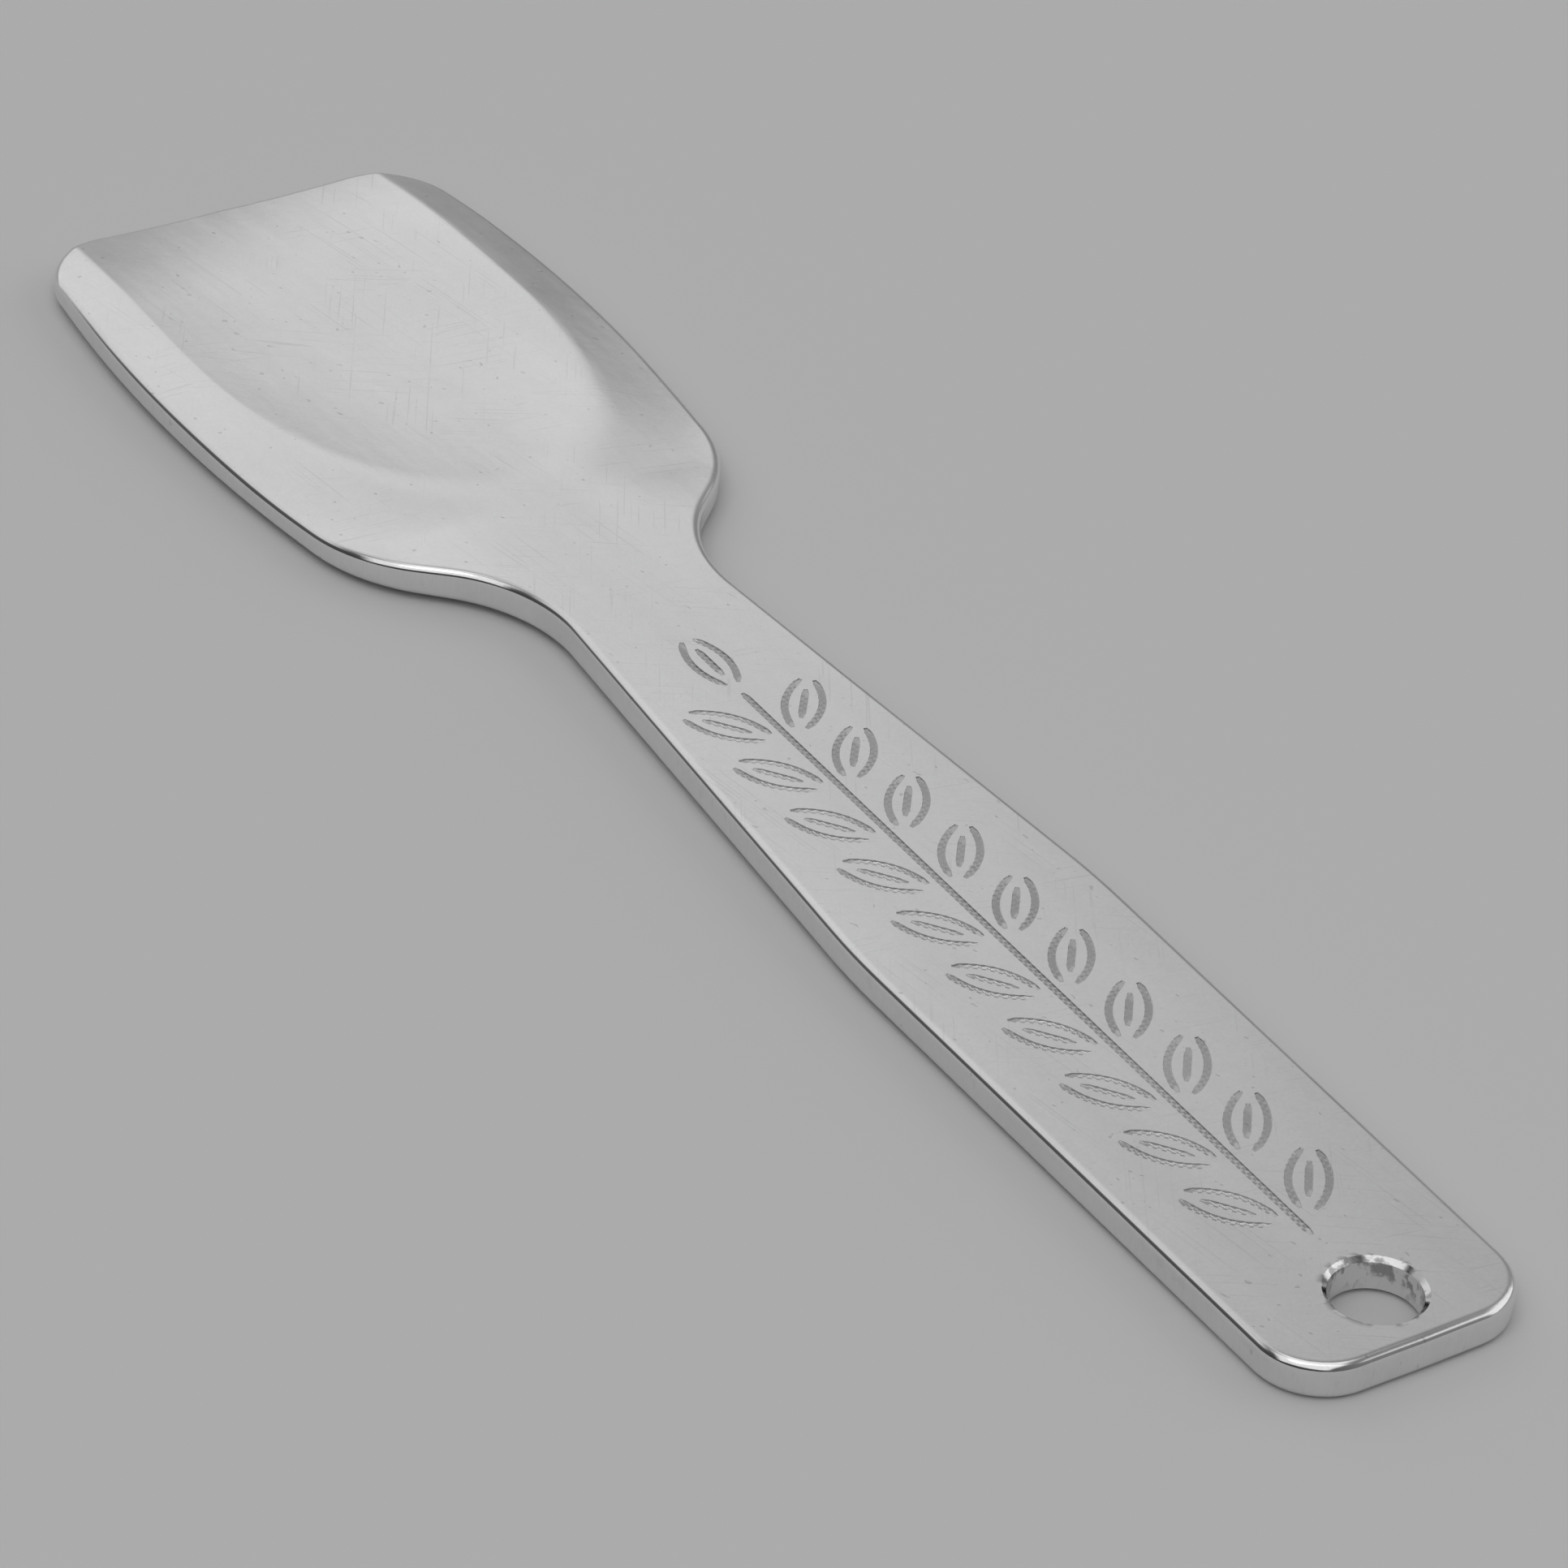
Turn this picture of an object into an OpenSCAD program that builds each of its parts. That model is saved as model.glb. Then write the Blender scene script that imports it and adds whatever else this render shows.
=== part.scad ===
// Flat serving spoon in one piece: a stainless blank with a long flat handle,
// a hang hole at its end, and a broad blade with a shallow bowl that runs out
// at the front edge. Millimetres. The long axis is X, from the handle's end to
// the front edge, and the spoon is set down as it rests on a table.

/* [Blank] */
// Length from the handle's end to the front edge
overall_length = 145; // [125:1:190]
// Thickness of the metal
metal_thickness = 2.5; // [1.8:0.1:3.5]
// Radius of the polished edges, top and bottom
edge_radius = 0.55; // [0.2:0.05:0.75]

/* [Handle] */
// Width of the handle at its end
handle_end_width = 17.1; // [14:0.1:20]
// Distance from the handle's end to its widest place
handle_widest_at = 45.7; // [20:0.1:60]
// Width of the handle at its widest place
handle_width = 18.1; // [14:0.1:22]
// Radius that eases the handle's sides at the widest place
handle_side_radius = 60; // [20:5:120]
// Radius of the handle's end corners
end_corner_radius = 4.4; // [2:0.1:7]
// How far the middle of the handle's end stands out past its corners
end_crown = 0.1; // [0:0.1:1]

/* [Hang hole] */
// Diameter of the hang hole
hole_diameter = 5.6; // [3:0.1:6]
// Distance from the handle's end to the centre of the hang hole
hole_inset = 4.8; // [4.6:0.1:15]
// Bevel at both mouths of the hang hole
hole_bevel = 0.3; // [0.1:0.05:0.4]

/* [Neck and shoulders] */
// Distance from the front edge back to where the handle's side lines meet the shoulder lines
neck_back = 55.3; // [54.5:0.1:62]
// Width between the handle's side lines where they meet the shoulder lines
neck_width = 11.4; // [9:0.1:16]
// Radius of the hollow fillets at the neck
neck_radius = 12.1; // [4:0.1:14]
// Distance from the front edge back to the shoulders
shoulder_back = 46.8; // [45.5:0.1:47.5]
// Width between the shoulder corners
shoulder_width = 29.2; // [28:0.1:33]
// Radius of the shoulders
shoulder_radius = 13; // [4:0.5:15]

/* [Blade] */
// Distance from the front edge back to the blade's widest place
blade_widest_back = 24.5; // [22.5:0.1:25.5]
// Width at which the blade's side lines would meet if they weren't rounded
blade_line_width = 35.4; // [33:0.1:35.8]
// Radius of the blade's long side curve
blade_side_radius = 130; // [40:5:135]
// Width between the front corners before they are rounded
front_width = 30; // [29:0.1:32]
// Radius of the front corners
front_corner_radius = 6; // [2:0.1:8]
// How far the middle of the front edge stands out past its corners
front_crown = 0.6; // [0.1:0.1:2]
// How far the blade bends down on its way to the front edge
blade_fall = 0.2; // [0:0.1:2]
// Fall of the ground rims beside the bowl, for each millimetre outward
rim_slope = 0.14; // [0:0.01:0.16]
// Distance outward over which the rims' slope runs out
rim_reach = 8; // [5:0.5:12]
// Distance from the front edge back to where the rims' slope begins
rims_begin_back = 59; // [54:1:64]
// Distance from the front edge back to where the rims' slope is full
rims_full_back = 33; // [26:1:42]
// Half width of the level strip between the neck and the bowl's closed end
level_strip = 5; // [2:0.5:7]
// How far outside the bowl's closed end the rims start to fall
closed_end_margin = 4; // [1:0.5:8]
// How much the ground lip takes off the front edge
lip_fall = 0.65; // [0:0.05:0.7]
// Length of the ground lip
lip_length = 12; // [6:1:20]

/* [Bowl] */
// Length of the bowl, from its closed end to the front edge
bowl_length = 43.7; // [36:0.1:46]
// Length of the bowl's round closed end
bowl_round_length = 22.8; // [15:0.1:30]
// Width of the bowl at its widest place
bowl_width = 25.4; // [20:0.2:28]
// How much narrower the bowl is at the front edge
bowl_narrowing = 1.2; // [0:0.1:3]
// Depth of the bowl below its rim
bowl_depth = 0.6; // [0.5:0.05:1.5]
// Depth that is left at the middle of the front edge
front_dip = 0.5; // [0.1:0.05:0.9]
// Swell of the bowl under the blade
bowl_swell = 0.4; // [0.2:0.05:1.2]
// Depth over which the crease round the bowl is softened
crease_ease = 0.04; // [0.02:0.01:0.1]

/* [Hidden] */
steel = [0.78, 0.78, 0.79];
clear = 1;                 // how far a cutter runs past the metal
arc_step_angle = 7.5;      // longest turn between two points of an outline arc
arc_step_length = 2;       // longest way between two points of an outline arc
rim_cells = 3;             // cells across the rim, on each side of the bowl
bowl_cells = 9;            // cells from the crease to the middle of the bowl
edge_cells = 4;            // cells round a polished edge
end_blend = 6;             // length over which the ribs follow the handle's end
front_blend = 16;          // length over which the ribs follow the front edge

neck_at = overall_length - neck_back;
bowl_back = overall_length - bowl_length;
bowl_mid = bowl_back + bowl_round_length;
side_cells = rim_cells + bowl_cells;
rib_cells = 2 * side_cells;

// Corners of one side's outline, [x, y, radius], from the handle's end to the front
handle_end_corner = [end_crown, handle_end_width / 2, end_corner_radius];
handle_corner = [handle_widest_at, handle_width / 2, handle_side_radius];
neck_corner = [neck_at, neck_width / 2, neck_radius];
shoulder_corner = [overall_length - shoulder_back, shoulder_width / 2, shoulder_radius];
blade_corner = [overall_length - blade_widest_back, blade_line_width / 2, blade_side_radius];
front_corner = [overall_length - front_crown, front_width / 2, front_corner_radius];
corners = [
    [0, 0, 0],
    handle_end_corner,
    handle_corner,
    neck_corner,
    shoulder_corner,
    blade_corner,
    front_corner,
    [overall_length, 0, 0]
];

function unit(v) = v / norm(v);
function flat(p) = [p[0], p[1]];
function mirrored(p) = [p[0], -p[1]];
function clamp(v, low, high) = max(low, min(high, v));
function ease(s) = s * s * (3 - 2 * s);

// Outline arcs
// An arc is [centre, radius, start angle, turn]; a turn below 0 is a round corner,
// a turn above 0 a hollow one.
function corner_arc(k) =
    let (a = flat(corners[k - 1]), b = flat(corners[k]), c = flat(corners[k + 1]),
         r = corners[k][2], u = unit(a - b), w = unit(c - b),
         half = acos(clamp(u * w, -1, 1)) / 2,
         centre = b + unit(u + w) * r / sin(half),
         bend = (b[0] - a[0]) * (c[1] - b[1]) - (b[1] - a[1]) * (c[0] - b[0]),
         start = b + u * r / tan(half) - centre)
    [centre, r, atan2(start[1], start[0]), sign(bend) * (180 - 2 * half)];

// Point of an arc at a share of its turn, with the outward normal of the outline
function arc_place(arc, share) =
    let (angle = arc[2] + arc[3] * share, out = [cos(angle), sin(angle)])
    [arc[0] + out * arc[1], arc[3] < 0 ? out : -out];

function arc_cells(arc, part) =
    max(2, ceil(abs(arc[3]) * part / arc_step_angle),
        ceil(abs(arc[3]) * part * PI / 180 * arc[1] / arc_step_length));

function arc_run(arc, from, to) =
    let (cells = arc_cells(arc, to - from))
    [for (i = [0 : cells]) arc_place(arc, from + (to - from) * i / cells)];

// One side of the outline: from the middle of the handle's end corner to the
// middle of the front corner
arcs = [for (k = [1 : len(corners) - 2]) corner_arc(k)];
last_arc = len(arcs) - 1;
side = [
    for (k = [0 : last_arc])
        each arc_run(arcs[k], k == 0 ? 0.5 : 0, k == last_arc ? 0.5 : 1)
];
ribs = len(side) - 1;

// Point of an end edge at a distance from the long axis, with its outward normal:
// on the corner's arc, or on the straight line from there to the middle
function end_place(arc, tip, corner, y) =
    let (way = sign(corner[0] - arc[0][0]),
         line = unit([corner[1], tip - corner[0]]),
         over = abs(y) - arc[0][1] - arc[1] * abs(line[1]),
         run = sqrt(max(0, arc[1] * arc[1] - pow(abs(y) - arc[0][1], 2))))
    over > 0
        ? let (out = [way * run, abs(y) - arc[0][1]] / arc[1])
          [[arc[0][0] + way * run, y], [out[0], out[1] * sign(y)]]
        : [[tip + (corner[0] - tip) * abs(y) / corner[1], y],
           [way * line[0], abs(line[1]) * sign(y)]];

// Bowl
function crease_half(x) =
    x < bowl_mid
        ? bowl_width / 2 * sqrt(max(0, 1 - pow((bowl_mid - x) / bowl_round_length, 2)))
        : (bowl_width - bowl_narrowing * pow((x - bowl_mid) / (overall_length - bowl_mid), 2)) / 2;

// Bowl depth as a share of its full depth: above 0 inside the crease, below 0 outside
function bowl_share(x, y) =
    x < bowl_mid
        ? 1 - pow((bowl_mid - x) / bowl_round_length, 2) - pow(2 * y / bowl_width, 2)
        : (1 - (1 - front_dip / bowl_depth) * pow((x - bowl_mid) / (overall_length - bowl_mid), 3))
          * (1 - pow(y / crease_half(x), 2));

// Nothing below -ease_depth, the value itself above ease_depth, a parabola between
function soften(v, ease_depth) =
    v <= -ease_depth ? 0 : v >= ease_depth ? v : pow(v + ease_depth, 2) / (4 * ease_depth);

function bend_down(x) =
    let (s = clamp((x - neck_at) / (overall_length - neck_at), 0, 1))
    blade_fall * s * s;

// The lip: the top is ground down towards the front edge
function lip(x) = lip_fall * pow(clamp(1 - (overall_length - x) / lip_length, 0, 1), 2);

// Distance from the long axis at which a rim starts to fall: at the crease beside the
// bowl, a little outside it round the closed end, and at the level strip's side behind it
function rim_start(x) =
    x < bowl_mid
        ? let (back = (bowl_mid - x) / (bowl_round_length + closed_end_margin),
               half = bowl_width / 2 * sqrt(max(0, 1 - back * back)))
          pow(pow(half, 6) + pow(level_strip * min(1, back), 6), 1 / 6)
        : crease_half(x);

// The rims: the top is ground down towards both side edges
function rim(p) =
    let (s = clamp((abs(p[1]) - rim_start(p[0])) / rim_reach, 0, 1),
         built_up = clamp((rims_begin_back - overall_length + p[0]) / (rims_begin_back - rims_full_back), 0, 1))
    rim_slope * rim_reach * (s - pow(s, 5) / 5) * ease(built_up);

function hollow(p) = soften(bowl_depth * bowl_share(p[0], p[1]), crease_ease);
function swell(p) = soften(bowl_swell * bowl_share(p[0], p[1]), crease_ease);
function top_height(p) = metal_thickness - bend_down(p[0]) - lip(p[0]) - rim(p) - hollow(p);
function bottom_height(p) = -bend_down(p[0]) - swell(p);

// Ribs
// Places across a rib, as shares of its half width: the crease lies on a line of
// places wherever the bowl is wide enough
function rib_share(j, crease_share) =
    let (k = abs(j - side_cells), way = sign(side_cells - j))
    k <= bowl_cells
        ? way * crease_share * k / bowl_cells
        : way * (crease_share + (1 - crease_share) * (k - bowl_cells) / rim_cells);

function crease_share(x, half_width) = clamp(crease_half(x) / half_width, 0.55, 0.93);
function shares(p) =
    let (c = crease_share(p[0], p[1]))
    [for (j = [0 : rib_cells]) rib_share(j, c)];

end_shares = shares(side[0][0]);
front_shares = shares(side[ribs][0]);
end_edge = [for (s = end_shares) end_place(arcs[0], 0, handle_end_corner, s * side[0][0][1])];
front_edge = [for (s = front_shares)
    end_place(arcs[last_arc], overall_length, front_corner, s * side[ribs][0][1])];

// The outline as one loop: near side, front edge, far side, handle's end
loop = concat(
    [for (i = [0 : ribs - 1]) side[i]],
    [for (j = [0 : rib_cells - 1]) front_edge[j]],
    [for (i = [ribs : -1 : 1]) [mirrored(side[i][0]), mirrored(side[i][1])]],
    [for (j = [rib_cells : -1 : 1]) end_edge[j]]
);
loop_size = len(loop);
function inset(place, depth) = place[0] - place[1] * depth;

// Points inside the inset outline: straight ribs that bow to the two end edges
function rib_place(i, j) =
    let (edge = inset(side[i], edge_radius),
         first = inset(side[0], edge_radius), last = inset(side[ribs], edge_radius),
         base = [edge[0], edge[1] * rib_share(j, crease_share(edge[0], edge[1]))],
         to_end = ease(clamp(1 - (edge[0] - first[0]) / end_blend, 0, 1)),
         to_front = ease(clamp(1 - (last[0] - edge[0]) / front_blend, 0, 1)),
         end_bow = inset(end_edge[j], edge_radius)
             - [first[0], first[1] * rib_share(j, crease_share(first[0], first[1]))],
         front_bow = inset(front_edge[j], edge_radius)
             - [last[0], last[1] * rib_share(j, crease_share(last[0], last[1]))])
    base + end_bow * to_end + front_bow * to_front;

// Solid
// Rings of the wall, from the underside round the lower edge, up, and round the
// upper edge: [inset, rise from the underside] and [inset, drop from the top]
lower_rings = [for (k = [0 : edge_cells])
    let (a = 90 * k / edge_cells) [edge_radius * (1 - sin(a)), edge_radius * (1 - cos(a))]];
upper_rings = [for (k = [edge_cells : -1 : 0]) lower_rings[k]];
ring_points = concat(
    [for (ring = lower_rings) for (place = loop)
        let (p = inset(place, ring[0])) [p[0], p[1], bottom_height(inset(place, edge_radius)) + ring[1]]],
    [for (ring = upper_rings) for (place = loop)
        let (p = inset(place, ring[0])) [p[0], p[1], top_height(inset(place, edge_radius)) - ring[1]]]
);
ring_count = len(lower_rings) + len(upper_rings);
inner_size = (ribs - 1) * (rib_cells - 1);
inner = [for (i = [1 : ribs - 1]) for (j = [1 : rib_cells - 1]) rib_place(i, j)];
points = concat(
    ring_points,
    [for (p = inner) [p[0], p[1], bottom_height(p)]],
    [for (p = inner) [p[0], p[1], top_height(p)]]
);

// Number of the loop point at the border of the grid, or of a point inside it
function grid_index(i, j, ring, first_inner) =
    j == 0 && i < ribs ? ring * loop_size + i
    : i == ribs && j < rib_cells ? ring * loop_size + ribs + j
    : j == rib_cells && i > 0 ? ring * loop_size + ribs + rib_cells + (ribs - i)
    : i == 0 ? ring * loop_size + (loop_size - j) % loop_size
    : first_inner + (i - 1) * (rib_cells - 1) + j - 1;

// Two triangles for each cell, with the short diagonals mirrored about the long axis
function cell(a, b, c, d, mirrored_cell) =
    mirrored_cell ? [[a, b, d], [b, c, d]] : [[a, b, c], [a, c, d]];

function sheet(ring, first_inner, upward) = [
    for (i = [0 : ribs - 1]) for (j = [0 : rib_cells - 1])
        let (a = grid_index(i, j, ring, first_inner), b = grid_index(i + 1, j, ring, first_inner),
             c = grid_index(i + 1, j + 1, ring, first_inner), d = grid_index(i, j + 1, ring, first_inner))
        each [for (t = cell(a, b, c, d, j >= side_cells)) upward ? t : [t[0], t[2], t[1]]]
];

wall_faces = [
    for (ring = [0 : ring_count - 2]) for (n = [0 : loop_size - 1])
        let (m = (n + 1) % loop_size, low = ring * loop_size, high = low + loop_size)
        each [[low + n, high + m, high + n], [low + n, low + m, high + m]]
];

module blank() {
    polyhedron(
        points,
        concat(
            wall_faces,
            sheet(0, len(ring_points), false),
            sheet(ring_count - 1, len(ring_points) + inner_size, true)
        ),
        convexity = 6
    );
}

// Round hole with a bevelled mouth above and below
module hang_hole() {
    bevel_reach = hole_bevel + clear;
    translate([hole_inset, 0, -clear])
        cylinder(h = metal_thickness + 2 * clear, d = hole_diameter, $fn = 72);
    translate([hole_inset, 0, metal_thickness - hole_bevel])
        cylinder(h = bevel_reach, d1 = hole_diameter, d2 = hole_diameter + 2 * bevel_reach, $fn = 72);
    translate([hole_inset, 0, -clear])
        cylinder(h = bevel_reach, d1 = hole_diameter + 2 * bevel_reach, d2 = hole_diameter, $fn = 72);
}

// Slope of the table's line under the handle's end and the swell of the bowl
rest_slope = max([
    for (x = [bowl_back : 0.5 : overall_length - edge_radius])
        -bottom_height([x, 0]) / (x - edge_radius)
]);

module spoon() {
    color(steel)
        translate([-overall_length / 2, 0, 0])
            rotate([0, -atan(rest_slope), 0])
                difference() {
                    blank();
                    hang_hole();
                }
}

spoon();
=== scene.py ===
import math
import bpy
import bmesh
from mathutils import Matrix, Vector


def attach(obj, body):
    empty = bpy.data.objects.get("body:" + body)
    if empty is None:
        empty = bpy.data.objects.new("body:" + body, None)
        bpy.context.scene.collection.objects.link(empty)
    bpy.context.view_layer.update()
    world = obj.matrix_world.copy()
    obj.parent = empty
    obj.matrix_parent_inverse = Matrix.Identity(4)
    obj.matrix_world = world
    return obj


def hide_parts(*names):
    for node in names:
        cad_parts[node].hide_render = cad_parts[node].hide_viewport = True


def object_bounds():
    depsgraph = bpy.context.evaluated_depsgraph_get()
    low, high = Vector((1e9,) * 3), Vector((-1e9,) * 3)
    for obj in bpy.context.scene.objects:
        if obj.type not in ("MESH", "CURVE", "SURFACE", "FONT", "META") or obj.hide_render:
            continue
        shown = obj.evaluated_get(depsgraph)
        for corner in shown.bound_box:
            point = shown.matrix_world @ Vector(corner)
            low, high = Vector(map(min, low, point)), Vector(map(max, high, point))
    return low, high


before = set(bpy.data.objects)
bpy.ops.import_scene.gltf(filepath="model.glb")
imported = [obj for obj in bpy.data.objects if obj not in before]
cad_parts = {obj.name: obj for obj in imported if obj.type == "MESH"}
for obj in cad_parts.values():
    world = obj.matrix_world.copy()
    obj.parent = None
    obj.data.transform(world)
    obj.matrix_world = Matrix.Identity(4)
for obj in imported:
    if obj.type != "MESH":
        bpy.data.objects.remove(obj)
cad_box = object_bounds()
scene = bpy.context.scene
scene.view_settings.view_transform = "Standard"

MM = 0.001

# The camera's place in m and turn in degrees, found from the spoon's outline in the photo.
LENS_LENGTH = 139.7516
PICTURE_WIDTH = 36
CAMERA_PLACE = (-0.270056, 0.178209, 0.217210)
CAMERA_TURN = (55.5675, -3.0037, -121.8537)

# Sizes of the spoon in mm, along x from the handle's end and out from its long axis. A corner
# of the outline is its place along, its place out and its radius.
LENGTH = 145
METAL = 2.5
EDGE_RADIUS = 0.55
EDGE_SEGMENTS = 7
NECK_AT = 89.7
HANDLE_END = (0.1, 8.55, 4.4)
FRONT_CORNER = (144.4, 15, 6)
CORNERS = [
    (0, 0, 0),
    HANDLE_END,
    (45.7, 9.05, 60),
    (NECK_AT, 5.7, 12.1),
    (98.2, 14.6, 13),
    (120.5, 17.7, 130),
    FRONT_CORNER,
    (LENGTH, 0, 0),
]
HOLE_RADIUS = 2.8
HOLE_INSET = 4.8
HOLE_BEVEL = 0.3
HOLE_SIDES = 96
HOLE_CUTTER_REACH = 0.7

# The handle's top is crowned across, up to where the neck begins.
HANDLE_CROWN = 0.04
HANDLE_CROWN_AT = 6
CROWN_ENDS_FROM = 70
CROWN_ENDS_OVER = 18

# The blade falls towards the front edge, and the metal is ground off the top at the lip.
BLADE_FALL = 0.2
LIP_FALL = 0.65
LIP_LENGTH = 12

# The bowl is half an ellipse at its closed end and runs out at the front edge.
BOWL_BACK = 101.3
BOWL_ROUND = 22.8
BOWL_MID = BOWL_BACK + BOWL_ROUND
BOWL_WIDTH = 25.4
BOWL_NARROWING = 1.2
BOWL_DEPTH = 0.6
FRONT_DIP = 0.5
BOWL_SWELL = 0.4
SWELL_EASE = 0.04
CREASE_CRISP = 0.012
CREASE_SOFT = 0.05
CREASE_SOFT_FROM = 6

# The rims beside the bowl are ground down outwards. They begin softly by the shoulders, and a
# level strip goes on from the neck to the closed end of the bowl.
RIM_SLOPE = 0.14
RIM_REACH = 8
RIM_EASE = 0.02
RIMS_BEGIN = 86
RIMS_FULL = 112
LEVEL_STRIP = 5
LEVEL_STRIP_BLEND = 6
CLOSED_END_MARGIN = 4
SHOULDER_EASE = 4
SHOULDER_EASE_FROM = 6
SHOULDER_EASE_OVER = 12

# Steps of the mesh along the outline, in mm and round an arc in degrees, and its cells from the
# middle of the blade outwards, which crowd together at the crease of the bowl.
HANDLE_STEP, NECK_STEP, BLADE_STEP = 1.3, 0.55, 0.42
NECK_STEPS_FROM, BLADE_STEPS_FROM = 80, 97
ARC_STEP = 7
BOWL_CELLS = 22
BOWL_CROWDING = 1.4
RIM_CELLS = 7
RIM_CROWDING = 1.3
CREASE_SHARES = (0.55, 0.93)
FIRST_ROW = 0.64
END_BLEND = 6
FRONT_BLEND = 16
CORNER_GAP = 0.03

# The leaf sprig engraved on the handle: its stem, its pairs of leaves and its grooves.
SPRIG_FROM = 12
SPRIG_PAIRS = 10
SPRIG_PITCH = 6.1
SPRIG_MIDDLE = 0.3
STEM_OVERHANG = 1.5
STEM_GAP = 0.5
LEAF_LENGTH = 7
LEAF_HALF_WIDTH = 1.2
LEAF_TURN = 37
LEAF_GAP = 0.75
LEAF_SIDE_ENDS = (0.1, 0.9)
MIDRIB_ENDS = (0.26, 0.74)
GROOVE_STEP = 0.27
GROOVE_MOUTH = 0.29
GROOVE_FLOOR = 0.22
GROOVE_DEEP = 0.14
GROOVE_SHALLOW = 0.06
GROOVE_LIP = -0.1
GROOVE_RUN_OUT = 2
GROOVE_CUTTER_HEIGHT = 0.6

# Finishes: the colour and the roughness of the polished and of the engraved steel.
POLISHED_TONE = (0.80, 0.80, 0.805)
POLISHED_ROUGHNESS = 0.2
POLISHED_WALL_SHARE = 0.5
ENGRAVED_TONE = (0.66, 0.66, 0.665)
ENGRAVED_ROUGHNESS = 0.27
FLOOR_TONE = (0.62, 0.62, 0.62, 1)
FLOOR_SIZE = 6
SMOOTH_BELOW = 16

# Grains in the steel: the length and width of their spots in mm, their direction in degrees
# and their detail.
CLOUDS = (9, 5, 20, 4)
SMEARS = (34, 4.5, 3, 3)
SPOTS = (0.9, 0.9, 0, 2)
DUST = (0.22, 0.22, 0, 1)
PITS = (0.5, 0.35, 17, 0)
# The hang hole's specks of grime, which also paint shade on its bevel.
GRIME_AND_SHADE = (0.8, 0.6, 40, 3)

# The noise at which a mark begins to show and at which it shows in full, and how far in mm out
# of the hang hole's wall its grime and painted shade are gone and are in full.
PITS_SHOW = (0.80, 0.85)
GRIME_AND_SHADE_SHOWS = (0.5, 0.62)
GRIME_AND_SHADE_EDGES = (0.75, 0.15)
SCRATCH_PARTS_SHOW = (0.46, 0.64)
SCRATCH_EDGE = 0.05

# Scratches of use: the direction in degrees, the length and the width in mm, and the noise
# past which one shows.
SCRATCHES = [
    (8, 14, 0.13, 0.7),
    (-31, 9, 0.15, 0.71),
    (57, 6, 0.14, 0.72),
    (81, 5, 0.15, 0.72),
]

# Soft boxes round the table: the azimuth and elevation each is centred on, its strength, and
# its edges. Towards an edge, which lies in the direction turned up from level by the first
# angle, the light fades from full to gone between the two others, all in degrees.
SOFT_BOXES = {
    "key": (-29.5, 30.5, 0.57, ((143, -6, 30), (-105, 2.5, 12), (0, 50, 64), (90, 26, 40))),
    "fill": (-22, 14, 0.16, ((0, 20, 35), (180, 5, 17), (90, 4, 12), (-90, 14, 24))),
    "side": (-98, 27, 0.7, ((0, 14, 27), (180, 28, 42), (90, 16, 28), (-90, 12, 22))),
    "lamp": (100, 60, 3.0, ((0, 3, 6), (180, 3, 6), (90, 3, 6), (-90, 3, 6))),
    "overhead": (-30, 90, 0.8, ((0, 16, 25), (180, 16, 25), (90, 16, 25), (-90, 16, 25))),
    "back": (125, 52, 0.8, ((0, 28, 38), (180, 28, 38), (90, 22, 32), (-90, 22, 32))),
}

# A box lights only its own side of the sky, between these cosines of the angle from its middle.
# The room behind the boxes is dim, and a little brighter towards one azimuth.
OWN_SIDE = (0.2, 0.4)
ROOM_TONE = 0.16
ROOM_FALL = 0.12
ROOM_FALL_AZIMUTH = -80


def stand_camera():
    lens = bpy.data.cameras.new("camera")
    lens.lens = LENS_LENGTH
    lens.sensor_width = PICTURE_WIDTH
    lens.clip_start = 0.01
    camera = bpy.data.objects.new("camera", lens)
    camera.location = CAMERA_PLACE
    camera.rotation_euler = [math.radians(a) for a in CAMERA_TURN]
    scene.collection.objects.link(camera)
    scene.camera = camera


def clamp(v, low=0.0, high=1.0):
    return max(low, min(high, v))


def ease(s):
    return s * s * (3 - 2 * s)


def corner_arc(k):
    """Centre, radius, first angle and turn of the arc that rounds a corner of the outline."""
    a, b, c = CORNERS[k - 1], CORNERS[k], CORNERS[k + 1]
    r = b[2]
    ux, uy = a[0] - b[0], a[1] - b[1]
    wx, wy = c[0] - b[0], c[1] - b[1]
    lu, lw = math.hypot(ux, uy), math.hypot(wx, wy)
    ux, uy, wx, wy = ux / lu, uy / lu, wx / lw, wy / lw
    half = math.acos(clamp(ux * wx + uy * wy, -1, 1)) / 2
    mx, my = ux + wx, uy + wy
    lm = math.hypot(mx, my)
    cx, cy = b[0] + mx / lm * r / math.sin(half), b[1] + my / lm * r / math.sin(half)
    turn = (b[0] - a[0]) * (c[1] - b[1]) - (b[1] - a[1]) * (c[0] - b[0])
    sx, sy = b[0] + ux * r / math.tan(half) - cx, b[1] + uy * r / math.tan(half) - cy
    return (cx, cy), r, math.atan2(sy, sx), math.copysign(math.pi - 2 * half, turn)


def arc_place(arc, share):
    """Place at a share of an arc, and the way out of the blank there."""
    (cx, cy), r, start, turn = arc
    angle = start + turn * share
    ox, oy = math.cos(angle), math.sin(angle)
    out = (ox, oy) if turn < 0 else (-ox, -oy)
    return (cx + ox * r, cy + oy * r), out


def step_at(x):
    if x < NECK_STEPS_FROM:
        return HANDLE_STEP
    return NECK_STEP if x < BLADE_STEPS_FROM else BLADE_STEP


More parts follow.
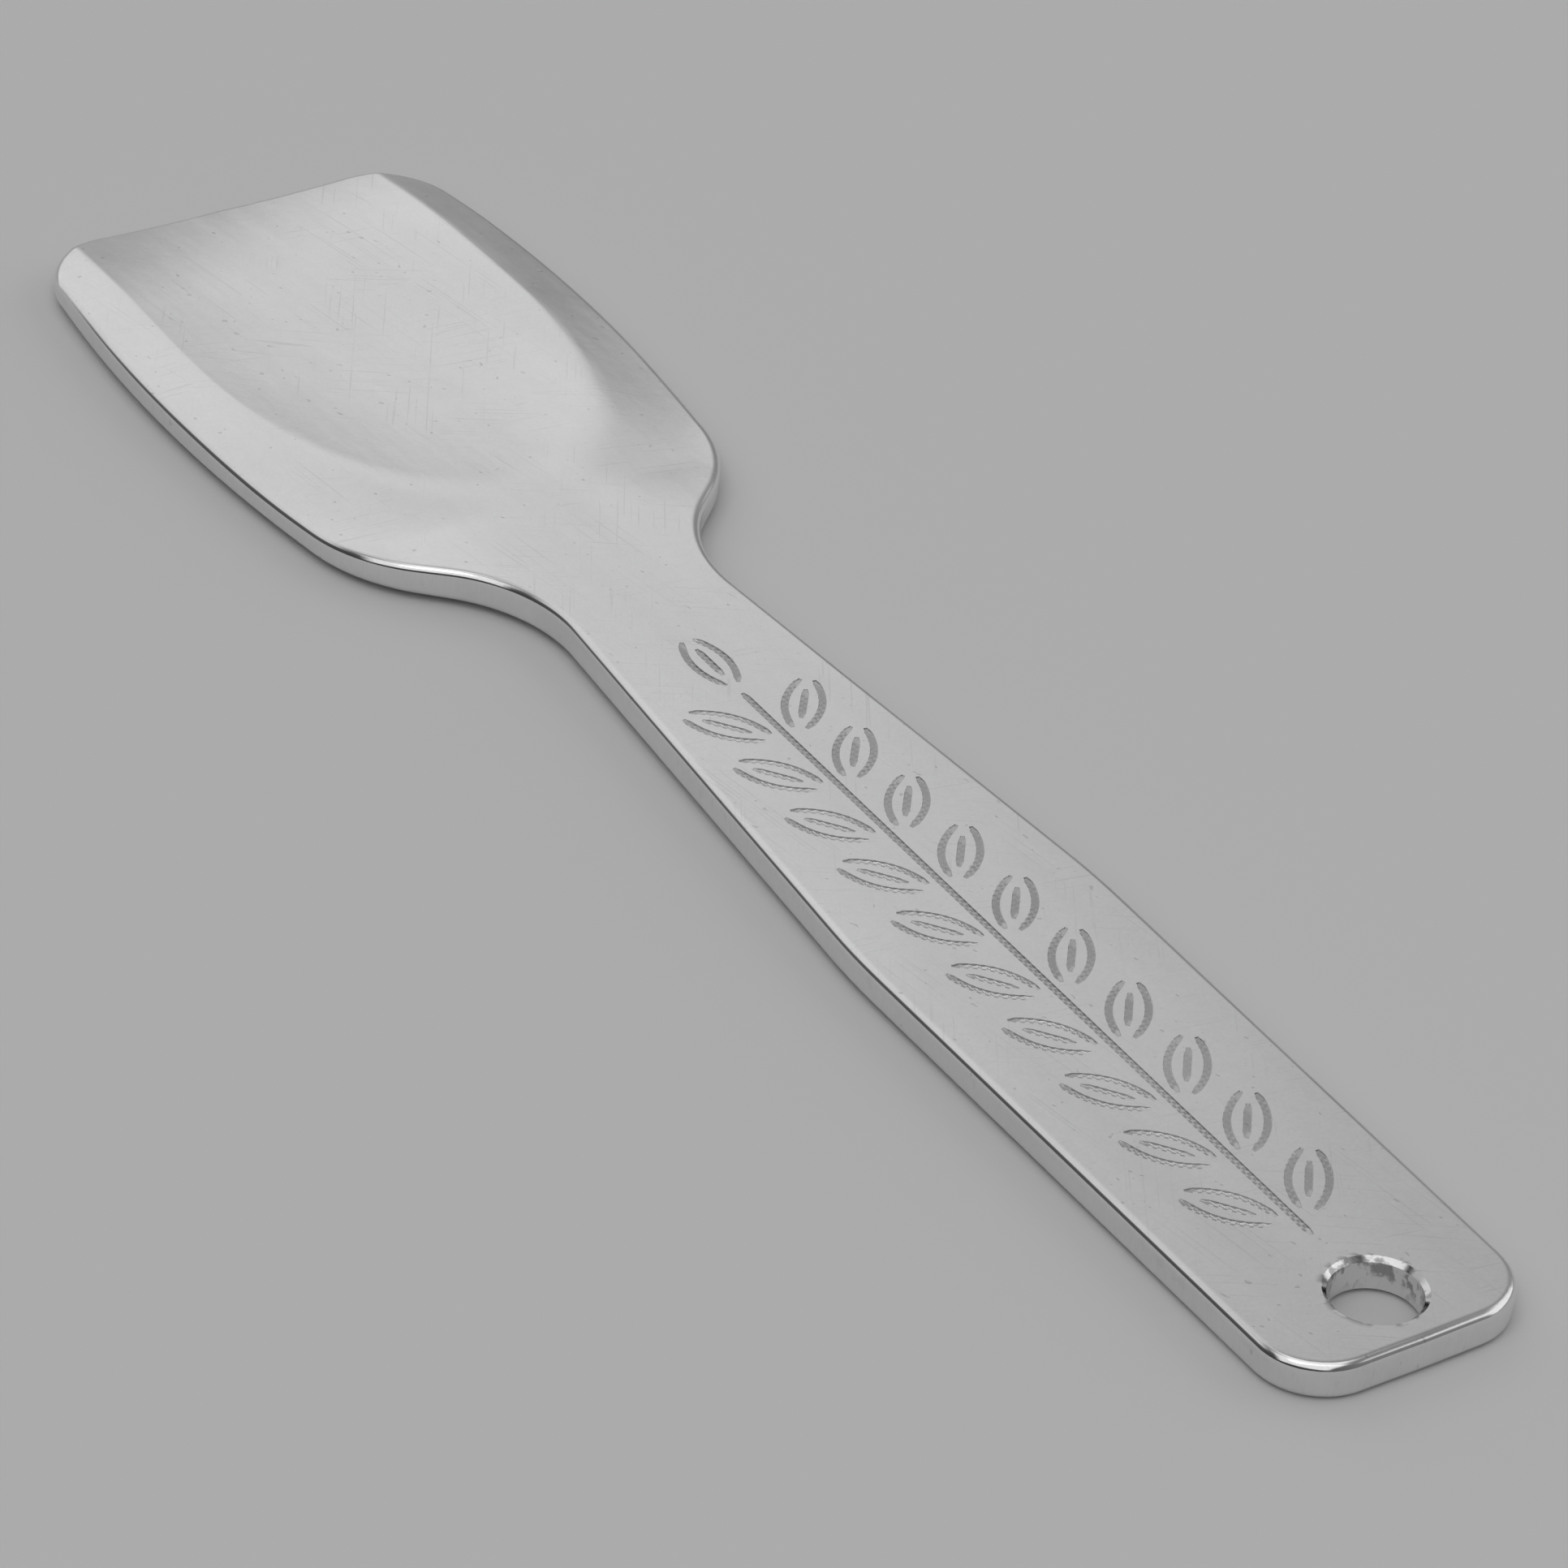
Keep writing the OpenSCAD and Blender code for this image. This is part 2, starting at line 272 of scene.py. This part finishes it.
def side_line():
    """Near side of the outline, from the middle of the end corner to the middle of the front one."""
    arcs = [corner_arc(k) for k in range(1, len(CORNERS) - 1)]
    places = []
    for k, arc in enumerate(arcs):
        first, last = (0.5 if k == 0 else 0), (0.5 if k == len(arcs) - 1 else 1)
        span = last - first
        if places:
            (x0, y0), out = places[-1]
            (x1, y1), _ = arc_place(arc, first)
            run = math.hypot(x1 - x0, y1 - y0)
            cells = max(1, round(run / step_at((x0 + x1) / 2)))
            places += [((x0 + (x1 - x0) * n / cells, y0 + (y1 - y0) * n / cells), out)
                       for n in range(1, cells)]
        turn = abs(arc[3]) * span
        middle = arc_place(arc, (first + last) / 2)[0]
        cells = max(2, round(turn * arc[1] / step_at(middle[0])), math.ceil(turn / math.radians(ARC_STEP)))
        places += [arc_place(arc, first + span * n / cells) for n in range(cells + 1)]
    return places, arcs


def end_place(arc, tip, corner, y):
    """Place on the handle's end or the front edge, at a distance from the axis, and the way out."""
    way = 1 if corner[0] > arc[0][0] else -1
    line = (corner[1], tip - corner[0])
    size = math.hypot(*line)
    line = (line[0] / size, line[1] / size)
    over = abs(y) - arc[0][1] - arc[1] * abs(line[1])
    side = -1 if y < 0 else 1
    if over > 0:
        rise = min(abs(y) - arc[0][1], arc[1])
        run = math.sqrt(arc[1] ** 2 - rise ** 2)
        return (arc[0][0] + way * run, y), (way * run / arc[1], side * rise / arc[1])
    x = tip + (corner[0] - tip) * abs(y) / corner[1]
    return (x, y), (way * line[0], abs(line[1]) * side)


def inset(place, depth):
    """A place on the outline moved into the blank."""
    (x, y), (ox, oy) = place
    return x - ox * depth, y - oy * depth


def crease_half(x):
    """Half the width of the bowl."""
    if x < BOWL_MID:
        return BOWL_WIDTH / 2 * math.sqrt(max(0, 1 - ((BOWL_MID - x) / BOWL_ROUND) ** 2))
    return (BOWL_WIDTH - BOWL_NARROWING * ((x - BOWL_MID) / (LENGTH - BOWL_MID)) ** 2) / 2


def bowl_share(x, y):
    """Depth of the bowl as a share of its full depth, negative outside it."""
    if x < BOWL_MID:
        return 1 - ((BOWL_MID - x) / BOWL_ROUND) ** 2 - (2 * y / BOWL_WIDTH) ** 2
    along = 1 - (1 - FRONT_DIP / BOWL_DEPTH) * ((x - BOWL_MID) / (LENGTH - BOWL_MID)) ** 3
    return along * (1 - (y / crease_half(x)) ** 2)


def soften(v, depth):
    """A value that runs out to nothing in a curve where it would turn negative."""
    if v <= -depth:
        return 0
    return v if v >= depth else (v + depth) ** 2 / (4 * depth)


def crease_ease(x):
    """The crease is crisp by the front edge and soft round the closed end."""
    back = clamp((BOWL_MID + CREASE_SOFT_FROM - x) / (BOWL_ROUND + CREASE_SOFT_FROM))
    return CREASE_CRISP + CREASE_SOFT * ease(back)


def bend_down(x):
    return BLADE_FALL * clamp((x - NECK_AT) / (LENGTH - NECK_AT)) ** 2


def lip(x):
    """Metal ground off the top towards the front edge."""
    return LIP_FALL * clamp(1 - (LENGTH - x) / LIP_LENGTH) ** 2


def rim(x, y):
    """Metal ground off the top towards both side edges of the blade."""
    start = crease_half(x)
    if x < BOWL_MID:
        back = (BOWL_MID - x) / (BOWL_ROUND + CLOSED_END_MARGIN)
        half = BOWL_WIDTH / 2 * math.sqrt(max(0, 1 - back * back))
        strip = LEVEL_STRIP * min(1, back)
        start = (half ** LEVEL_STRIP_BLEND + strip ** LEVEL_STRIP_BLEND) ** (1 / LEVEL_STRIP_BLEND)
    past_shoulder = ease(clamp((x - NECK_AT - SHOULDER_EASE_FROM) / SHOULDER_EASE_OVER))
    s = clamp(soften(abs(y) - start, RIM_EASE + SHOULDER_EASE * (1 - past_shoulder)) / RIM_REACH)
    built_up = clamp((x - RIMS_BEGIN) / (RIMS_FULL - RIMS_BEGIN))
    return RIM_SLOPE * RIM_REACH * (s - s ** 5 / 5) * ease(built_up)


def crown(x, y):
    """The handle's top is a little rounded across by its polishing."""
    ending = ease(clamp((x - CROWN_ENDS_FROM) / CROWN_ENDS_OVER))
    return HANDLE_CROWN * (abs(y) / HANDLE_CROWN_AT) ** 3 * (1 - ending)


def top_height(x, y):
    hollow = soften(BOWL_DEPTH * bowl_share(x, y), crease_ease(x))
    return METAL - bend_down(x) - lip(x) - rim(x, y) - hollow - crown(x, y)


def underside_height(x, y):
    return -bend_down(x) - soften(BOWL_SWELL * bowl_share(x, y), SWELL_EASE)


def row_shares(x, half_width):
    """Places across the spoon from +1 to -1, closest together at the crease."""
    crease = clamp(crease_half(x) / half_width, *CREASE_SHARES)
    inner = [crease * (1 - (1 - n / BOWL_CELLS) ** BOWL_CROWDING) for n in range(1, BOWL_CELLS + 1)]
    outer = [crease + (1 - crease) * (n / RIM_CELLS) ** RIM_CROWDING for n in range(1, RIM_CELLS + 1)]
    shares = inner + outer
    return shares[::-1] + [0.0] + [-s for s in shares]


def sheet_places():
    """Plan of the blank as columns of points, the outline itself all round the outside."""
    side, arcs = side_line()
    rows = 2 * (BOWL_CELLS + RIM_CELLS)
    ends = len(side) - 1

    def edge_places(column, arc, tip, corner):
        (x, y), _ = side[column]
        return [end_place(arc, tip, corner, s * y) for s in row_shares(x, y)]

    end_edge = edge_places(0, arcs[0], 0, HANDLE_END)
    front_edge = edge_places(ends, arcs[-1], LENGTH, FRONT_CORNER)
    first, last = inset(side[0], FIRST_ROW), inset(side[ends], FIRST_ROW)
    first_shares, last_shares = row_shares(*first), row_shares(*last)
    columns = []
    for place in side:
        x, y = inset(place, FIRST_ROW)
        to_end = ease(clamp(1 - (x - first[0]) / END_BLEND))
        to_front = ease(clamp(1 - (last[0] - x) / FRONT_BLEND))
        column = []
        for j, s in enumerate(row_shares(x, y)):
            ex, ey = inset(end_edge[j], FIRST_ROW)
            fx, fy = inset(front_edge[j], FIRST_ROW)
            column.append((
                x + (ex - first[0]) * to_end + (fx - last[0]) * to_front,
                y * s + (ey - first[1] * first_shares[j]) * to_end
                + (fy - last[1] * last_shares[j]) * to_front,
            ))
        columns.append(column)

    def flip(p):
        return p[0], -p[1]

    before, after = 0.5 - CORNER_GAP, 0.5 + CORNER_GAP
    near = [place[0] for place in side]
    near[0], near[ends] = arc_place(arcs[0], after)[0], arc_place(arcs[-1], before)[0]
    end_line = [place[0] for place in end_edge]
    end_line[0] = arc_place(arcs[0], before)[0]
    front_line = [place[0] for place in front_edge]
    front_line[0] = arc_place(arcs[-1], after)[0]
    end_line[rows], front_line[rows] = flip(end_line[0]), flip(front_line[0])
    edges = [side[0][0]] + near + [side[ends][0]]
    return [[edge] + column + [flip(edge)]
            for edge, column in zip(edges, [end_line] + columns + [front_line])]


def deselect_all():
    bpy.ops.object.select_all(action="DESELECT")


def select_edges(obj, wanted):
    """Select the edges that a test picks, in edit mode."""
    mesh = bmesh.from_edit_mesh(obj.data)
    for face in mesh.faces:
        face.select_set(False)
    for edge in mesh.edges:
        edge.select_set(bool(wanted(edge)))
    mesh.select_flush_mode()
    bmesh.update_edit_mesh(obj.data)


def select_faces(obj, wanted):
    """Select the faces that a test picks, in edit mode."""
    mesh = bmesh.from_edit_mesh(obj.data)
    for face in mesh.faces:
        face.select_set(bool(wanted(face)))
    mesh.select_flush_mode()
    bmesh.update_edit_mesh(obj.data)


def press_blank():
    """The blank with its bowl: a grid laid out to the plan, given its thickness, its edges rounded."""
    plan = sheet_places()
    columns, rows = len(plan) - 1, len(plan[0]) - 1
    deselect_all()
    bpy.ops.mesh.primitive_grid_add(x_subdivisions=columns, y_subdivisions=rows, size=0.1)
    blank = bpy.context.object
    blank.name = blank.data.name = "flat_spoon"
    top = []
    for j in range(rows + 1):
        for i in range(columns + 1):
            x, y = plan[i][rows - j]
            top += [x * MM, y * MM, top_height(x, y) * MM]
    assert len(top) == 3 * len(blank.data.vertices)
    blank.data.vertices.foreach_set("co", top)
    blank.data.update()
    bpy.ops.object.mode_set(mode="EDIT")
    bpy.ops.mesh.select_mode(type="FACE")
    bpy.ops.mesh.select_all(action="SELECT")
    bpy.ops.mesh.extrude_region_move(TRANSFORM_OT_translate={"value": (0, 0, -METAL * MM)})
    mesh = bmesh.from_edit_mesh(blank.data)
    for vert in mesh.verts:
        if vert.select:
            vert.co.z = underside_height(vert.co.x / MM, vert.co.y / MM) * MM
    bmesh.update_edit_mesh(blank.data)
    bpy.ops.mesh.select_all(action="SELECT")
    bpy.ops.mesh.normals_make_consistent(inside=False)
    bpy.ops.mesh.select_mode(type="EDGE")

    def wall(face):
        return abs(face.normal.z) < 0.5

    select_edges(blank, lambda e: len(e.link_faces) == 2 and wall(e.link_faces[0]) != wall(e.link_faces[1]))
    bpy.ops.mesh.bevel(offset=EDGE_RADIUS * MM, segments=EDGE_SEGMENTS, profile=0.5, affect="EDGES",
                       clamp_overlap=False)
    bpy.ops.object.mode_set(mode="OBJECT")
    return blank


def hole_cutter():
    """A pin with a flared head at both ends, as the drill and its countersinks leave the hole."""
    deselect_all()
    depth = METAL - 2 * HOLE_BEVEL
    flare = HOLE_BEVEL + HOLE_CUTTER_REACH
    grow = (HOLE_RADIUS + flare) / HOLE_RADIUS
    bpy.ops.mesh.primitive_cylinder_add(vertices=HOLE_SIDES, radius=HOLE_RADIUS * MM, depth=depth * MM,
                                        location=(HOLE_INSET * MM, 0, METAL / 2 * MM))
    cutter = bpy.context.object
    bpy.ops.object.transform_apply(location=True, rotation=True, scale=True)
    bpy.ops.object.mode_set(mode="EDIT")
    bpy.ops.mesh.select_mode(type="FACE")
    for way in (1, -1):
        select_faces(cutter, lambda f: f.normal.z * way > 0.9)
        bpy.ops.mesh.extrude_region_move(TRANSFORM_OT_translate={"value": (0, 0, way * flare * MM)})
        bpy.ops.transform.resize(value=(grow, grow, 1), center_override=(HOLE_INSET * MM, 0, 0))
    bpy.ops.object.mode_set(mode="OBJECT")
    return cutter


def spread(line, step):
    """Points an even step apart along a function of 0 to 1."""
    fine = [line(n / 200) for n in range(201)]
    runs = [0.0]
    for (x0, y0), (x1, y1) in zip(fine, fine[1:]):
        runs.append(runs[-1] + math.hypot(x1 - x0, y1 - y0))
    cells = round(runs[-1] / step)
    points, k = [fine[0]], 0
    for n in range(1, cells):
        wanted = runs[-1] * n / cells
        while runs[k + 1] < wanted:
            k += 1
        share = (wanted - runs[k]) / (runs[k + 1] - runs[k])
        points.append(tuple(a + (b - a) * share for a, b in zip(fine[k], fine[k + 1])))
    return points + [fine[-1]]


def leaf_strokes(x, y, turn):
    """Two curved sides and a midrib of a pointed leaf that grows from a place at an angle."""
    cos, sin = math.cos(math.radians(turn)), math.sin(math.radians(turn))

    def stroke(ends, half_width):
        def place(share):
            t = ends[0] + (ends[1] - ends[0]) * share
            along, across = LEAF_LENGTH * t, half_width * 4 * t * (1 - t)
            return x + along * cos - across * sin, y + along * sin + across * cos
        return spread(place, GROOVE_STEP)

    return [
        stroke(LEAF_SIDE_ENDS, LEAF_HALF_WIDTH),
        stroke(LEAF_SIDE_ENDS, -LEAF_HALF_WIDTH),
        stroke(MIDRIB_ENDS, 0),
    ]


def sprig_strokes():
    """The stem, the pairs of leaves along it and the leaf at its tip."""
    tip = SPRIG_FROM + SPRIG_PITCH * SPRIG_PAIRS
    stem_from, stem_to = SPRIG_FROM - STEM_OVERHANG, tip - STEM_GAP
    strokes = [spread(lambda t: (stem_from + (stem_to - stem_from) * t, SPRIG_MIDDLE), GROOVE_STEP)]
    for n in range(SPRIG_PAIRS):
        along = SPRIG_FROM + SPRIG_PITCH * n
        for way in (1, -1):
            strokes += leaf_strokes(along, SPRIG_MIDDLE + way * LEAF_GAP, way * LEAF_TURN)
    return strokes + leaf_strokes(tip, SPRIG_MIDDLE, 0)


def groove_sections(points):
    """Five places across the groove at each point: its floor is hatched, deep and shallow by turns."""
    sections = []
    last = len(points) - 1
    for n, (x, y) in enumerate(points):
        (x0, y0), (x1, y1) = points[max(n - 1, 0)], points[min(n + 1, last)]
        run = math.hypot(x1 - x0, y1 - y0)
        out = (y0 - y1) / run, (x1 - x0) / run
        size = 0.5 + 0.5 * min(1, min(n, last - n) / GROOVE_RUN_OUT)
        left, right = (GROOVE_DEEP, GROOVE_SHALLOW) if n % 2 else (GROOVE_SHALLOW, GROOVE_DEEP)
        top = METAL - crown(x, y)
        profile = [
            (-GROOVE_MOUTH, GROOVE_LIP),
            (-GROOVE_FLOOR, left),
            (0, (left + right) / 2),
            (GROOVE_FLOOR, right),
            (GROOVE_MOUTH, GROOVE_LIP),
        ]
        sections.append([(x + out[0] * side * size, y + out[1] * side * size, top - drop * size)
                         for side, drop in profile])
    return sections


def groove_cutter(points):
    """One stroke of the graver: a strip laid along the stroke and given its height."""
    sections = groove_sections(points)
    deselect_all()
    bpy.ops.mesh.primitive_grid_add(x_subdivisions=len(sections) - 1, y_subdivisions=4, size=0.1)
    cutter = bpy.context.object
    places = [v * MM for j in range(len(sections[0])) for section in sections for v in section[j]]
    cutter.data.vertices.foreach_set("co", places)
    cutter.data.update()
    bpy.ops.object.mode_set(mode="EDIT")
    bpy.ops.mesh.select_mode(type="FACE")
    bpy.ops.mesh.select_all(action="SELECT")
    bpy.ops.mesh.extrude_region_move(TRANSFORM_OT_translate={"value": (0, 0, GROOVE_CUTTER_HEIGHT * MM)})
    bpy.ops.mesh.select_all(action="SELECT")
    bpy.ops.mesh.normals_make_consistent(inside=False)
    bpy.ops.object.mode_set(mode="OBJECT")
    return cutter


def cut_away(blank, cutter, name):
    """Take a cutter's form out of the blank, whose new faces get the cutter's finish."""
    deselect_all()
    blank.select_set(True)
    bpy.context.view_layer.objects.active = blank
    cut = blank.modifiers.new(name, "BOOLEAN")
    cut.operation = "DIFFERENCE"
    cut.solver = "EXACT"
    cut.material_mode = "TRANSFER"
    cut.object = cutter
    bpy.ops.object.modifier_apply(modifier=cut.name)
    bpy.data.objects.remove(cutter)


def engrave_sprig(blank):
    engraved = steel("engraved_steel", ENGRAVED_TONE, ENGRAVED_ROUGHNESS, 1.0)
    cutters = [groove_cutter(points) for points in sprig_strokes()]
    deselect_all()
    for cutter in cutters:
        cutter.select_set(True)
        cutter.data.materials.append(engraved)
    bpy.context.view_layer.objects.active = cutters[0]
    bpy.ops.object.join()
    cut_away(blank, cutters[0], "leaf_sprig")


def rest_tilt():
    """Angle of the table's line under the handle's end and the swell of the bowl."""
    places = [BOWL_BACK + n / 2 for n in range(int(2 * (LENGTH - EDGE_RADIUS - BOWL_BACK)) + 1)]
    return math.atan(max(-underside_height(x, 0) / (x - EDGE_RADIUS) for x in places))


def lay_down(blank):
    """Set the spoon down on the handle's end and the bowl."""
    deselect_all()
    blank.select_set(True)
    bpy.context.view_layer.objects.active = blank
    blank.rotation_euler = (0, -rest_tilt(), 0)
    blank.location = (-LENGTH / 2 * MM, 0, 0)
    bpy.ops.object.transform_apply(location=True, rotation=True, scale=True)


def fit_in_box(blank):
    """Take off the few micrometres by which the finer curves stand out past the CAD's facets."""
    width, height = [min(1, cad_box[1][axis] / max(abs(vert.co[axis]) for vert in blank.data.vertices))
                     for axis in (1, 2)]
    bpy.ops.object.mode_set(mode="EDIT")
    bpy.ops.mesh.select_all(action="SELECT")
    bpy.ops.transform.resize(value=(1, width, height), center_override=(0, 0, 0))
    bpy.ops.object.mode_set(mode="OBJECT")


def make_spoon():
    blank = press_blank()
    polished = steel("polished_steel", POLISHED_TONE, POLISHED_ROUGHNESS, POLISHED_WALL_SHARE)
    blank.data.materials.append(polished)
    cut_away(blank, hole_cutter(), "hang_hole")
    engrave_sprig(blank)
    lay_down(blank)
    fit_in_box(blank)
    bpy.ops.object.shade_smooth_by_angle(angle=math.radians(SMOOTH_BELOW))
    weigh = blank.modifiers.new("even_shading", "WEIGHTED_NORMAL")
    weigh.keep_sharp = True
    weigh.mode = "FACE_AREA"
    bpy.ops.object.modifier_apply(modifier=weigh.name)
    return blank


def put(tree, socket, value):
    """Give a socket a plain value, or the output of another node."""
    if isinstance(value, bpy.types.NodeSocket):
        tree.links.new(value, socket)
    else:
        socket.default_value = value


def calc(tree, operation, *values):
    """The outcome of a sum on plain values and outputs of nodes."""
    node = tree.nodes.new("ShaderNodeMath")
    node.operation = operation
    for socket, value in zip(node.inputs, values):
        put(tree, socket, value)
    return node.outputs[0]


def fade(tree, value, gone, full):
    """A smooth rise from 0 to 1 as the value goes from one limit to the other."""
    node = tree.nodes.new("ShaderNodeMapRange")
    node.interpolation_type = "SMOOTHSTEP"
    node.inputs["From Min"].default_value = gone
    node.inputs["From Max"].default_value = full
    put(tree, node.inputs["Value"], value)
    return node.outputs["Result"]


def vector_calc(tree, operation, first, second):
    """The dot product or the distance of two directions or places."""
    node = tree.nodes.new("ShaderNodeVectorMath")
    node.operation = operation
    put(tree, node.inputs[0], first)
    put(tree, node.inputs[1], second)
    return node.outputs["Value"]


def grain(tree, place, length, width, turn, detail):
    """Noise whose spots are so long and wide in mm, turned in the plane of the table."""
    lay = tree.nodes.new("ShaderNodeMapping")
    lay.vector_type = "TEXTURE"
    lay.inputs["Location"].default_value = (length * turn * MM, width * turn * MM, 0)
    lay.inputs["Rotation"].default_value = (0, 0, math.radians(turn))
    lay.inputs["Scale"].default_value = (length * MM, width * MM, max(width, 1) * MM)
    put(tree, lay.inputs["Vector"], place)
    noise = tree.nodes.new("ShaderNodeTexNoise")
    noise.inputs["Scale"].default_value = 1
    noise.inputs["Detail"].default_value = detail
    put(tree, noise.inputs["Vector"], lay.outputs[0])
    return noise.outputs["Fac"]


def scratches(tree, place):
    """Fine scratches of use in several directions, each broken off here and there."""
    lines = 0.0
    for turn, length, width, least in SCRATCHES:
        line = fade(tree, grain(tree, place, length, width, turn, 0), least, least + SCRATCH_EDGE)
        part = fade(tree, grain(tree, place, 9, 5, turn + 50, 1), *SCRATCH_PARTS_SHOW)
        lines = calc(tree, "MAXIMUM", lines, calc(tree, "MULTIPLY", line, part))
    return lines


def hole_grime_and_shade(tree, place):
    """Specks of grime round the mouth of the hang hole, also darkening its bevel as painted shade."""
    away = vector_calc(tree, "DISTANCE", place, ((HOLE_INSET - LENGTH / 2) * MM, 0, METAL * MM))
    near = fade(tree, away, *((HOLE_RADIUS + edge) * MM for edge in GRIME_AND_SHADE_EDGES))
    return calc(tree, "MULTIPLY", near, fade(tree, grain(tree, place, *GRIME_AND_SHADE), *GRIME_AND_SHADE_SHOWS))


def steel(name, tone, roughness, wall_share):
    """Stainless steel, clouded and lightly scratched by use, with a share of its roughness on walls."""
    metal = bpy.data.materials.new(name)
    metal.use_nodes = True
    tree = metal.node_tree
    shader = tree.nodes["Principled BSDF"]
    where = tree.nodes.new("ShaderNodeTexCoord")
    place = where.outputs["Object"]
    clouds, smears, spots, dust = [grain(tree, place, *size) for size in (CLOUDS, SMEARS, SPOTS, DUST)]
    lines = scratches(tree, place)
    pits = fade(tree, grain(tree, place, *PITS), *PITS_SHOW)
    # Grime round the hang hole, dark enough to also paint shade on its bevel.
    grime_and_shade = hole_grime_and_shade(tree, place)

    def sum_up(start, parts):
        for part, share in parts:
            start = calc(tree, "MULTIPLY_ADD", part, share, start)
        return start

    # How far each grain or mark lightens or darkens the steel; the grime round the hang hole also darkens
    # its bevel as painted shade.
    shade = sum_up(0.81, ((smears, 0.16), (clouds, 0.12), (spots, 0.05), (dust, 0.07), (lines, -0.05),
                          (pits, -0.2), (grime_and_shade, -0.55)))
    colour = tree.nodes.new("ShaderNodeCombineColor")
    for channel, share in zip(("Red", "Green", "Blue"), tone):
        put(tree, colour.inputs[channel], calc(tree, "MULTIPLY", shade, share))
    tree.links.new(colour.outputs[0], shader.inputs["Base Color"])

    # The clouds and the scratches are rougher, and upright walls are smoother.
    split = tree.nodes.new("ShaderNodeSeparateXYZ")
    tree.links.new(where.outputs["Normal"], split.inputs[0])
    facing_up = fade(tree, calc(tree, "ABSOLUTE", split.outputs["Z"]), 0.6, 0.97)
    share = calc(tree, "MULTIPLY_ADD", facing_up, 1 - wall_share, wall_share)
    rough = sum_up(roughness / 2, ((clouds, roughness), (lines, 0.04)))
    tree.links.new(calc(tree, "MULTIPLY", rough, share), shader.inputs["Roughness"])
    shader.inputs["Metallic"].default_value = 1.0

    # How high each grain stands, in mm.
    height = sum_up(0.0, ((clouds, 0.012), (smears, 0.03), (spots, 0.0025), (dust, 0.0012)))
    relief = tree.nodes.new("ShaderNodeBump")
    relief.inputs["Distance"].default_value = MM
    tree.links.new(height, relief.inputs["Height"])
    tree.links.new(relief.outputs["Normal"], shader.inputs["Normal"])
    return metal


def floor_paper():
    paper = bpy.data.materials.new("floor_paper")
    paper.use_nodes = True
    shader = paper.node_tree.nodes["Principled BSDF"]
    shader.inputs["Base Color"].default_value = FLOOR_TONE
    shader.inputs["Roughness"].default_value = 0.9
    shader.inputs["Specular IOR Level"].default_value = 0.2
    return paper


def lay_floor():
    deselect_all()
    bpy.ops.mesh.primitive_plane_add(size=FLOOR_SIZE, location=(0, 0, 0))
    floor = bpy.context.object
    floor.name = "floor"
    floor.data.materials.append(floor_paper())


def direction(azimuth, elevation):
    a, e = math.radians(azimuth), math.radians(elevation)
    return math.cos(a) * math.cos(e), math.sin(a) * math.cos(e), math.sin(e)


def soft_box(tree, where, name):
    """Light of one soft box as seen from the table, from the direction looked in."""
    azimuth, elevation, strength, edges = SOFT_BOXES[name]
    level = direction(azimuth + 90, 0)
    rise = direction(azimuth + 180, 90 - elevation)
    towards = vector_calc(tree, "DOT_PRODUCT", where, direction(azimuth, elevation))
    light = fade(tree, towards, *OWN_SIDE)
    for turn, full, gone in edges:
        t = math.radians(turn)
        axis = [math.cos(t) * l + math.sin(t) * r for l, r in zip(level, rise)]
        edge = fade(tree, vector_calc(tree, "DOT_PRODUCT", where, axis),
                    math.sin(math.radians(gone)), math.sin(math.radians(full)))
        light = calc(tree, "MULTIPLY", light, edge)
    return calc(tree, "MULTIPLY", light, strength)


def background(tree, colour, strength=1.0):
    node = tree.nodes.new("ShaderNodeBackground")
    node.inputs["Color"].default_value = colour
    put(tree, node.inputs["Strength"], strength)
    return node.outputs[0]


def light_room():
    """A dim room that is a little brighter on one side, with the soft boxes in it."""
    world = bpy.data.worlds.new("room")
    scene.world = world
    world.use_nodes = True
    tree = world.node_tree
    tree.nodes.clear()
    where = tree.nodes.new("ShaderNodeTexCoord").outputs["Generated"]
    fall = vector_calc(tree, "DOT_PRODUCT", where, direction(ROOM_FALL_AZIMUTH, 0))
    light = calc(tree, "MULTIPLY_ADD", fall, ROOM_FALL, ROOM_TONE)
    for name in SOFT_BOXES:
        light = calc(tree, "ADD", light, soft_box(tree, where, name))
    path = tree.nodes.new("ShaderNodeLightPath")
    choose = tree.nodes.new("ShaderNodeMixShader")
    tree.links.new(path.outputs["Is Camera Ray"], choose.inputs["Fac"])
    tree.links.new(background(tree, (1, 1, 1, 1), light), choose.inputs[1])
    tree.links.new(background(tree, FLOOR_TONE), choose.inputs[2])
    out = tree.nodes.new("ShaderNodeOutputWorld")
    tree.links.new(choose.outputs[0], out.inputs["Surface"])


stand_camera()
lay_floor()
light_room()
spoon = make_spoon()
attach(spoon, "root")
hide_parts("spoon")
